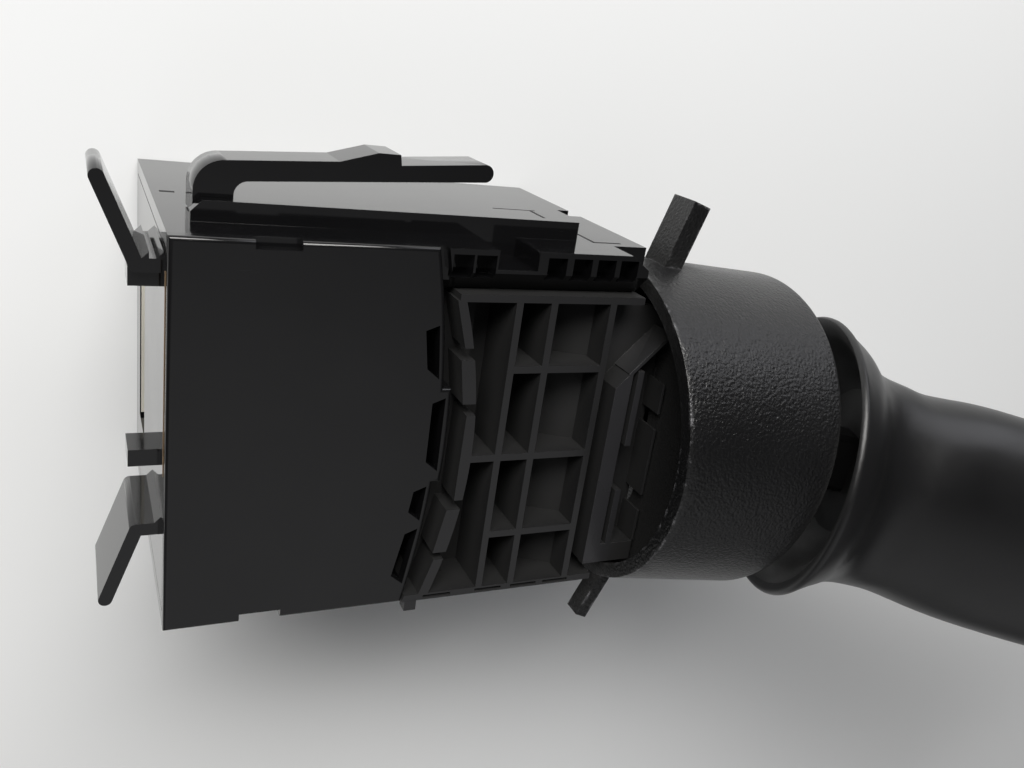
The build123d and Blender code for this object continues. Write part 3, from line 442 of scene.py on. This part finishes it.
    def _relief(self, tree: bpy.types.NodeTree, place: Socket) -> Socket:
        """Gives the normal of the grained skin.

        Args:
            tree: node tree of the material.
            place: object coordinates.

        Returns:
            Normal with the slow wave of the wall and the fine grain on it.
        """
        if self.grain is Grain.LEATHER:
            warp = add_node(
                tree,
                "ShaderNodeTexNoise",
                {"Scale": per(self.cell * 1.2), "Detail": 3.0, "Distortion": 0.8},
                {"Vector": place},
            )
            cells = add_node(
                tree,
                "ShaderNodeTexVoronoi",
                {"feature": "SMOOTH_F1", "Scale": per(self.cell), "Smoothness": 0.7},
                {"Vector": place},
            )
            height = add_node(
                tree,
                "ShaderNodeMath",
                {"operation": "MULTIPLY_ADD", 1: -0.7},
                {0: cells.outputs["Distance"], 2: warp.outputs["Fac"]},
            ).outputs[0]
        else:
            height = add_node(
                tree,
                "ShaderNodeTexNoise",
                {"Scale": per(self.cell), "Detail": 3.0, "Roughness": 0.6},
                {"Vector": place},
            ).outputs["Fac"]
        wave = add_node(
            tree,
            "ShaderNodeTexNoise",
            {"Scale": per(12.0), "Detail": 1.0},
            {"Vector": place},
        )
        slow = add_node(
            tree,
            "ShaderNodeBump",
            {"Strength": 1.0, "Distance": mm(0.03)},
            {"Height": wave.outputs["Fac"]},
        )
        fine = add_node(
            tree,
            "ShaderNodeBump",
            {"Strength": 1.0, "Distance": mm(self.depth)},
            {"Height": height, "Normal": slow.outputs[0]},
        )
        return fine.outputs[0]


@dataclass(frozen=True)
class WorkedMetal:
    """Stamped, drawn or plated metal with a fine drawn grain.

    Args:
        name: material name.
        colour: reflectance colour as sRGB hex.
        roughness: mean roughness.
        line: spacing of the drawing lines in millimetres.
    """

    name: str
    colour: str
    roughness: float
    line: float = 0.12

    def make(self) -> bpy.types.Material:
        """Builds the material.

        Returns:
            The new material.
        """
        material, tree, place = start_material(self.name)
        lay = add_node(
            tree, "ShaderNodeMapping", {"Scale": (0.06, 1.0, 1.0)}, {"Vector": place}
        )
        drawn = add_node(
            tree,
            "ShaderNodeTexNoise",
            {"Scale": per(self.line), "Detail": 3.0},
            {"Vector": lay.outputs[0]},
        )
        rough = add_node(
            tree,
            "ShaderNodeMapRange",
            {"To Min": self.roughness * 0.7, "To Max": self.roughness * 1.4},
            {"Value": drawn.outputs["Fac"]},
        )
        stain = add_node(
            tree, "ShaderNodeTexNoise", {"Scale": per(3.0), "Detail": 3.0}, {"Vector": place}
        )
        red, green, blue, alpha = linear(self.colour)
        tint = add_node(
            tree,
            "ShaderNodeMix",
            {
                "data_type": "RGBA",
                6: (red * 0.8, green * 0.78, blue * 0.74, alpha),
                7: (red, green, blue, alpha),
            },
            {0: stain.outputs["Fac"]},
        )
        relief = add_node(
            tree,
            "ShaderNodeBump",
            {"Strength": 0.5, "Distance": mm(0.004)},
            {"Height": drawn.outputs["Fac"]},
        )
        shader = add_node(
            tree,
            "ShaderNodeBsdfPrincipled",
            {"Metallic": 1.0},
            {
                "Base Color": tint.outputs[2],
                "Roughness": rough.outputs[0],
                "Normal": relief.outputs[0],
            },
        )
        add_node(tree, "ShaderNodeOutputMaterial", links={"Surface": shader.outputs[0]})
        return material


@dataclass(frozen=True)
class SolderMask:
    """Glass-fibre laminate under a green solder mask, with etched tracks.

    Args:
        name: material name.
        colour: colour of the mask over bare laminate.
        track: colour of the mask over copper.
        pitch: spacing of the tracks in millimetres.
    """

    name: str
    colour: str = "#17452b"
    track: str = "#2a6b3f"
    pitch: float = 2.9

    def make(self) -> bpy.types.Material:
        """Builds the material.

        Returns:
            The new material.
        """
        material, tree, place = start_material(self.name)
        bricks = add_node(
            tree,
            "ShaderNodeTexBrick",
            {
                "Color1": (0.0, 0.0, 0.0, 1.0),
                "Color2": (0.0, 0.0, 0.0, 1.0),
                "Mortar": (1.0, 1.0, 1.0, 1.0),
                "Scale": per(self.pitch * 4.0),
                "Mortar Size": 0.02,
                "Brick Width": 0.9,
                "Row Height": 0.25,
            },
            {"Vector": place},
        )
        weave = add_node(
            tree, "ShaderNodeTexWave", {"Scale": per(3.0), "Distortion": 1.0}, {"Vector": place}
        )
        tint = add_node(
            tree,
            "ShaderNodeMix",
            {"data_type": "RGBA", 6: linear(self.colour), 7: linear(self.track)},
            {0: bricks.outputs["Fac"]},
        )
        rough = add_node(
            tree,
            "ShaderNodeMapRange",
            {"To Min": 0.28, "To Max": 0.4},
            {"Value": weave.outputs["Fac"]},
        )
        relief = add_node(
            tree,
            "ShaderNodeBump",
            {"Strength": 0.8, "Distance": mm(0.035)},
            {"Height": bricks.outputs["Fac"]},
        )
        shader = add_node(
            tree,
            "ShaderNodeBsdfPrincipled",
            {"IOR": 1.5},
            {
                "Base Color": tint.outputs[2],
                "Roughness": rough.outputs[0],
                "Normal": relief.outputs[0],
            },
        )
        add_node(tree, "ShaderNodeOutputMaterial", links={"Surface": shader.outputs[0]})
        return material


# Glass-filled nylon from a polished tool: near black, and its flanks mirror the floor.
HOUSING = MouldedPlastic(
    "nylon_housing_moulded",
    "#0d0d0e",
    0.08,
    spread=0.03,
    cell=0.6,
    depth=0.001,
    scratches=0.1,
    dust=0.03,
    ior=1.58,
)
# Polished nylon lid: mirrors its surroundings darkly and shows fine rubs and specks.
COVER = MouldedPlastic(
    "nylon_cover_polished",
    "#101011",
    0.17,
    spread=0.04,
    cell=0.5,
    depth=0.002,
    scratches=0.2,
    dust=0.05,
)
# Nylon rib frame from a spark-eroded tool: dark grey ribs over pockets whose painted shade sinks
# to black.
FRAME = MouldedPlastic(
    "nylon_frame_moulded", "#1f1f20", 0.27, cell=0.25, depth=0.003, shade_reach=8.0
)
# Nylon comb: a little paler than the frame, and painted shade sinks its slots to black.
COMB = MouldedPlastic(
    "nylon_comb_moulded", "#28282a", 0.3, cell=0.25, depth=0.003, shade_reach=7.0
)
# Grained polypropylene: fine leather cells that break the highlight into a glitter, with painted
# shade in its enclosed places.
GRAINED = MouldedPlastic(
    "polypropylene_leather_grained",
    "#0c0c0d",
    0.33,
    spread=0.04,
    grain=Grain.LEATHER,
    cell=0.42,
    depth=0.1,
    scratches=0.06,
    wear=0.8,
    shade_reach=20.0,
)
# ABS handle with a satin spark-eroded skin: broad, quiet highlights, with painted shade in its
# enclosed places.
SATIN = MouldedPlastic(
    "abs_handle_satin",
    "#101011",
    0.36,
    cell=0.35,
    depth=0.005,
    scratches=0.16,
    dust=0.02,
    shade_reach=20.0,
)
# Grime in a parting line: dull black, so that the line reads on the bright flank.
LINE = MouldedPlastic("grime_parting_line", "#0a0a0a", 0.7)
# A thin tan line beside the cover.
SEAM_TAN = MouldedPlastic("tan_seam_line", "#6e5a42", 0.5)
# Acetal for the sliding parts: natural, slightly waxy off-white.
ACETAL = MouldedPlastic("acetal_slider_moulded", "#c9c6bb", 0.38, ior=1.48)
# Dark acetal for yoke, hub and plunger.
BLACK_ACETAL = MouldedPlastic("acetal_black_moulded", "#1c1c1e", 0.4, ior=1.48)
# Black rubber of the dust shield and the lever core under it: dull, so that the gap stays dark.
RUBBER = MouldedPlastic("rubber_moulded_black", "#0a0a0b", 0.6, ior=1.5)
# Fibre laminate of the contact board.
BOARD = SolderMask("fibreglass_board_masked")
# Stamped contact brass, slightly tarnished.
BRASS = WorkedMetal("brass_contact_stamped", "#d9b566", 0.26)
# Zinc-plated screw steel.
STEEL = WorkedMetal("steel_screw_plated", "#b9bcc0", 0.3)
# Hard-drawn spring wire, oiled and darker.
SPRING = WorkedMetal("steel_spring_drawn", "#8d8f94", 0.28)


def dress_node(name: str, material: bpy.types.Material, edge: float) -> bpy.types.Object:
    """Gives a carried-over solid its material and softly rounded edges.

    Args:
        name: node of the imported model.
        material: finish for all of its slots.
        edge: edge radius in millimetres, or 0 for none.

    Returns:
        The node's object.
    """
    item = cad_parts[name]
    item.data.materials.clear()
    item.data.materials.append(material)
    if edge:
        weld = item.modifiers.new("weld", "WELD")
        weld.merge_threshold = mm(WELD_GAP)
        bevel = item.modifiers.new("edge", "BEVEL")
        bevel.width = mm(edge)
        bevel.segments = EDGE_STEPS
        bevel.limit_method = "ANGLE"
        bevel.angle_limit = math.radians(EDGE_ANGLE)
        bevel.harden_normals = True
        bevel.use_clamp_overlap = True
    return item


@dataclass
class SwitchBox:
    """Plug-in box: end plate, housing, covers, rib frame, comb and latch.

    Args:
        edge: radius of the moulded edges in millimetres.
        thin_edge: radius on the thin ribs in millimetres.
    """

    edge: float = 0.18
    thin_edge: float = 0.1

    def build(self) -> list[bpy.types.Object]:
        """Dresses the box.

        Returns:
            Its objects.
        """
        housing = HOUSING.make()
        frame_skin = FRAME.make()
        return [
            dress_node("end_plate", housing, self.edge),
            dress_node("main_housing", housing, self.edge),
            dress_node("front_cover", COVER.make(), self.thin_edge),
            dress_node("rear_cover", housing, self.edge),
            dress_node("release_latch", housing, self.edge),
            dress_node("rib_frame", frame_skin, self.thin_edge),
            dress_node("guide_comb", COMB.make(), self.thin_edge),
        ]


def lay_blocks(
    name: str, blocks: list[Block], material: bpy.types.Material, edge: float = 0.04
) -> bpy.types.Object:
    """Builds upright blocks as one piece that rides on the box.

    Args:
        name: name of the piece.
        blocks: lowest and highest corner of each block, in millimetres.
        material: finish of the piece.
        edge: radius of the edges in millimetres.

    Returns:
        The new object.
    """
    mesh = bpy.data.meshes.new(name)
    form = bmesh.new()
    for low, high in blocks:
        size = [mm(b - a) for a, b in zip(low, high)]
        middle = [mm((a + b) / 2) for a, b in zip(low, high)]
        place = Matrix.Translation(middle) @ Matrix.Diagonal((*size, 1.0))
        bmesh.ops.create_cube(form, size=1.0, matrix=place)
    form.to_mesh(mesh)
    form.free()
    mesh.materials.append(material)
    piece = bpy.data.objects.new(name, mesh)
    bpy.context.scene.collection.objects.link(piece)
    bevel = piece.modifiers.new("edge", "BEVEL")
    bevel.width = mm(edge)
    bevel.segments = EDGE_STEPS
    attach(piece, "switch_box")
    return piece


@dataclass
class SeamLines:
    """Fine parting lines, the tan line, the small tab, the comb's pad and the retainer.

    All are in millimetres in the part's own frame. A run of a line is its lowest x,
    highest x, lowest z and highest z, and a block is its lowest and highest corner.

    Args:
        side: y of the latch side, on which the lines lie.
        width: width of a line.
        stand: how far a line stands off its face.
        root: how far a line reaches into its face.
        parting: runs of the parting line across the latch side.
        crack: runs of the short line near the collar.
        slot_mark: run of the short mark near the end plate.
        tan_seam: block of the tan line beside the cover.
        tab: block at the rib frame's lower corner, flush with the cover.
        pad: block between the comb and the collar's bulkhead.
        retainer: block on the lower wall of the connector socket.
    """

    side: float = 23.0
    width: float = 0.22
    stand: float = 0.03
    root: float = 0.1
    parting: tuple[Span, ...] = ((45.3, 51.7, -2.7, -2.7), (50.9, 51.1, -2.7, 2.1))
    crack: tuple[Span, ...] = ((51.2, 51.4, 11.4, 15.9), (51.2, 55.1, 15.9, 16.1))
    slot_mark: tuple[Span, ...] = ((1.1, 2.6, -0.2, 0.3),)
    tan_seam: Block = ((-0.09, -4.0, 20.7), (0.0, 19.0, 21.0))
    tab: Block = ((28.9, -24.4, 20.9), (30.5, -22.9, 22.6))
    pad: Block = ((62.4, 4.4, 17.6), (62.7, 7.2, 19.0))
    retainer: Block = ((0.15, -12.0, -15.6), (4.5, 12.0, -15.35))

    def build(self) -> list[bpy.types.Object]:
        """Lays the lines and the small fitted pieces.

        Returns:
            Their objects.
        """
        dark = LINE.make()
        return [
            self._line("side_parting_line", dark, self.parting),
            self._line("side_crack_line", dark, self.crack),
            self._line("side_slot_mark", dark, self.slot_mark),
            lay_blocks("cover_tan_line", [self.tan_seam], SEAM_TAN.make()),
            lay_blocks("frame_corner_tab", [self.tab], FRAME.make()),
            lay_blocks("comb_seat_pad", [self.pad], dark),
            lay_blocks("socket_retainer", [self.retainer], ACETAL.make()),
        ]

    def _line(
        self, name: str, material: bpy.types.Material, runs: tuple[Span, ...]
    ) -> bpy.types.Object:
        """Lays one line of straight runs on the latch side.

        Args:
            name: name of the piece.
            material: finish of the line.
            runs: the line's runs.

        Returns:
            The new object.
        """
        half = self.width / 2
        low_y, high_y = self.side - self.root, self.side + self.stand
        blocks = [
            ((x0 - half, low_y, z0 - half), (x1 + half, high_y, z1 + half))
            for x0, x1, z0, z1 in runs
        ]
        return lay_blocks(name, blocks, material)


@dataclass
class Contacts:
    """Board, terminals, slider and its blades.

    Args:
        edge: radius of the small moulded edges in millimetres.
    """

    edge: float = 0.08

    def build(self) -> list[bpy.types.Object]:
        """Dresses the contact group.

        Returns:
            Its objects.
        """
        steel = STEEL.make()
        brass = BRASS.make()
        acetal = ACETAL.make()
        dark = BLACK_ACETAL.make()
        return [
            dress_node("circuit_board", BOARD.make(), self.edge),
            dress_node("board_screws", steel, self.edge),
            dress_node("plate_screws", steel, self.edge),
            dress_node("terminal_block", dark, self.edge),
            dress_node("terminal_pins", brass, self.edge),
            dress_node("contact_blades", brass, 0.0),
            dress_node("contact_slider", acetal, self.edge),
            dress_node("slider_guide", dark, self.edge),
        ]


@dataclass
class PivotGroup:
    """Plates, yoke, pin, hub and detent that carry the lever.

    Args:
        edge: radius of the moulded edges in millimetres.
    """

    edge: float = 0.15

    def build(self) -> list[bpy.types.Object]:
        """Dresses the pivot group.

        Returns:
            Its objects.
        """
        dark = BLACK_ACETAL.make()
        rubber = RUBBER.make()
        steel = STEEL.make()
        return [
            dress_node("bearing_plate", dark, self.edge),
            dress_node("pivot_bridge", dark, self.edge),
            dress_node("yoke", dark, self.edge),
            dress_node("hinge_pin", steel, self.edge),
            dress_node("drive_arm", dark, self.edge),
            dress_node("lever_core", rubber, self.edge),
            dress_node("detent_plunger", ACETAL.make(), 0.0),
            dress_node("detent_spring", SPRING.make(), 0.0),
            dress_node("detent_block", dark, self.edge),
            dress_node("dust_shield", rubber, self.edge),
        ]


@dataclass
class Stalk:
    """Grained collar, hollow lever and the controls at its tip.

    Args:
        edge: radius of the moulded edges in millimetres.
    """

    edge: float = 0.25

    def build(self) -> list[bpy.types.Object]:
        """Dresses the stalk.

        Returns:
            Its objects.
        """
        satin = SATIN.make()
        return [
            dress_node("collar", GRAINED.make(), self.edge),
            dress_node("lever_shell", satin, self.edge),
            dress_node("tip_sleeve", satin, self.edge),
            dress_node("adjust_ring", satin, self.edge),
            dress_node("end_knob", satin, self.edge),
            dress_node("end_cap", satin, self.edge),
            dress_node("knob_shaft", BLACK_ACETAL.make(), self.edge),
            dress_node("contact_plate", BRASS.make(), 0.05),
        ]


@dataclass(frozen=True)
class Window:
    """Soft area lamp that stands for a window.

    Args:
        name: name of the lamp.
        spot: place in metres.
        width: width in metres.
        height: height in metres.
        power: power in watts.
        colour: colour of the light as sRGB hex.
    """

    name: str
    spot: Triple
    width: float
    height: float
    power: float
    colour: str


@dataclass
class Studio:
    """Pale floor, soft window light and the camera.

    Args:
        floor_half: half the side of the floor in metres.
        floor_colour: colour of the floor as sRGB hex.
        floor_shade: colour to which the floor drifts in broad patches.
        pale: colour of the backdrop and of the room.
        eye: camera position in metres.
        view: direction of view.
        up: up direction of the image.
        lens: focal length in millimetres.
        sensor: width of the sensor in millimetres.
        clip: nearest and farthest distance that the camera sees, in metres.
        aim: point that the lamps face.
        windows: the lamps.
        spread: angle of each lamp's beam in degrees, which keeps the floor below it soft.
        wall: direction of the lit wall that faces the windows.
        wall_edge: cosine from the wall's middle at which its light ends.
        wall_level: strength of the lit wall.
        room_level: strength of the rest of the room.
        backdrop: level of the pale backdrop and of the floor that runs into it.
        middle: centre of the lit floor, in metres.
        near: distance from the middle up to which the floor is only lit.
        far: distance from which the floor is backdrop.
    """

    floor_half: float = 6.0
    floor_colour: str = "#eceded"
    floor_shade: str = "#e6e8ea"
    pale: str = "#fafafb"
    eye: Triple = (-0.008537, 0.045320, 0.116691)
    view: Triple = (0.42660, -0.34402, -0.83646)
    up: Triple = (0.02135, 0.92841, -0.37095)
    lens: float = 32.64
    sensor: float = 36.0
    clip: tuple[float, float] = (0.005, 30.0)
    aim: Triple = (0.04, 0.0, 0.0)
    windows: tuple[Window, ...] = (
        Window("window_light", (-0.12, 0.43, 0.37), 0.6, 0.25, 2.3, "#fffdfa"),
        Window("side_window", (0.58, 0.65, 0.24), 0.5, 0.5, 0.48, "#f8f9ff"),
    )
    spread: float = 110.0
    wall: Triple = (0.0, -0.75, 0.66)
    wall_edge: float = 0.6
    wall_level: float = 0.42
    room_level: float = 0.04
    backdrop: float = 0.8
    middle: Triple = (0.08, 0.0, -0.0226)
    near: float = 0.26
    far: float = 0.44

    def build(self) -> list[bpy.types.Object]:
        """Sets the floor, the camera, the lamps and the world.

        Returns:
            The floor, the camera and the lamps.
        """
        things = [self._floor(), self._camera()]
        things += self._lamps()
        self._world()
        bpy.context.scene.view_settings.view_transform = "Standard"
        return things

    def _floor(self) -> bpy.types.Object:
        """Lays the floor under the lowest point of the object.

        Returns:
            The floor.
        """
        low = CAD_BOX[0][2]
        half = self.floor_half
        mesh = bpy.data.meshes.new("floor")
        corners = [(-half, -half, low), (half, -half, low), (half, half, low), (-half, half, low)]
        mesh.from_pydata(corners, [], [(0, 1, 2, 3)])
        floor = bpy.data.objects.new("floor", mesh)
        bpy.context.scene.collection.objects.link(floor)
        material, tree, place = start_material("cotton_floor_matt")
        drift = add_node(
            tree, "ShaderNodeTexNoise", {"Scale": per(160.0), "Detail": 2.0}, {"Vector": place}
        )
        tint = add_node(
            tree,
            "ShaderNodeMix",
            {"data_type": "RGBA", 6: linear(self.floor_shade), 7: linear(self.floor_colour)},
            {0: drift.outputs["Fac"]},
        )
        shader = add_node(
            tree,
            "ShaderNodeBsdfPrincipled",
            {"Roughness": 0.9, "IOR": 1.45},
            {"Base Color": tint.outputs[2]},
        )
        pale = add_node(
            tree, "ShaderNodeEmission", {"Color": linear(self.pale), "Strength": self.backdrop}
        )
        reach = add_node(
            tree,
            "ShaderNodeVectorMath",
            {"operation": "DISTANCE", 1: self.middle},
            {0: place},
        )
        away = add_node(
            tree,
            "ShaderNodeMapRange",
            {"interpolation_type": "SMOOTHSTEP", "From Min": self.near, "From Max": self.far},
            {"Value": reach.outputs["Value"]},
        )
        seen = add_node(tree, "ShaderNodeLightPath").outputs["Is Camera Ray"]
        share = add_node(
            tree,
            "ShaderNodeMath",
            {"operation": "MULTIPLY"},
            {0: away.outputs[0], 1: seen},
        )
        joined = add_node(
            tree,
            "ShaderNodeMixShader",
            links={0: share.outputs[0], 1: shader.outputs[0], 2: pale.outputs[0]},
        )
        add_node(tree, "ShaderNodeOutputMaterial", links={"Surface": joined.outputs[0]})
        mesh.materials.append(material)
        return floor

    def _camera(self) -> bpy.types.Object:
        """Places the camera and makes it the scene's camera.

        Returns:
            The camera.
        """
        data = bpy.data.cameras.new("camera")
        data.lens = self.lens
        data.sensor_width = self.sensor
        data.clip_start, data.clip_end = self.clip
        camera = bpy.data.objects.new("camera", data)
        bpy.context.scene.collection.objects.link(camera)
        back = -Vector(self.view).normalized()
        right = Vector(self.up).cross(back).normalized()
        top = back.cross(right)
        turn = Matrix((right, top, back)).transposed().to_4x4()
        camera.matrix_world = Matrix.Translation(self.eye) @ turn
        bpy.context.scene.camera = camera
        return camera

    def _lamps(self) -> list[bpy.types.Object]:
        """Hangs the window lights.

        Returns:
            The lamps.
        """
        lamps = []
        for window in self.windows:
            data = bpy.data.lights.new(window.name, "AREA")
            data.shape = "RECTANGLE"
            data.size = window.width
            data.size_y = window.height
            data.energy = window.power
            data.spread = math.radians(self.spread)
            data.color = linear(window.colour)[:3]
            lamp = bpy.data.objects.new(window.name, data)
            bpy.context.scene.collection.objects.link(lamp)
            aim = Vector(self.aim) - Vector(window.spot)
            lamp.rotation_euler = aim.to_track_quat("-Z", "Y").to_euler()
            lamp.location = window.spot
            lamps.append(lamp)
        return lamps

    def _world(self) -> None:
        """Sets a dim room with one lit wall, seen against a pale backdrop."""
        world = bpy.data.worlds.new("studio_world")
        bpy.context.scene.world = world
        world.use_nodes = True
        tree = world.node_tree
        tree.nodes.clear()
        place = add_node(tree, "ShaderNodeTexCoord").outputs["Generated"]
        toward = add_node(
            tree,
            "ShaderNodeVectorMath",
            {"operation": "DOT_PRODUCT", 1: Vector(self.wall).normalized()},
            {0: place},
        )
        level = add_node(
            tree,
            "ShaderNodeMapRange",
            {
                "interpolation_type": "SMOOTHSTEP",
                "From Min": self.wall_edge,
                "To Min": self.room_level,
                "To Max": self.wall_level,
            },
            {"Value": toward.outputs["Value"]},
        )
        seen = add_node(tree, "ShaderNodeLightPath").outputs["Is Camera Ray"]
        room = add_node(
            tree,
            "ShaderNodeMix",
            {"data_type": "FLOAT", 3: self.backdrop},
            {0: seen, 2: level.outputs[0]},
        )
        light = add_node(
            tree,
            "ShaderNodeBackground",
            {"Color": linear(self.pale)},
            {"Strength": room.outputs[0]},
        )
        add_node(tree, "ShaderNodeOutputWorld", links={"Surface": light.outputs[0]})


def main() -> None:
    """Builds the sub-assemblies and the studio in order and logs each piece."""
    logging.basicConfig(level=logging.INFO, format="%(name)s: %(message)s")
    for group in (SwitchBox(), SeamLines(), Contacts(), PivotGroup(), Stalk(), Studio()):
        for piece in group.build():
            LOG.info("%s: %s", type(group).__name__, piece.name)


if __name__ == "__main__":
    main()
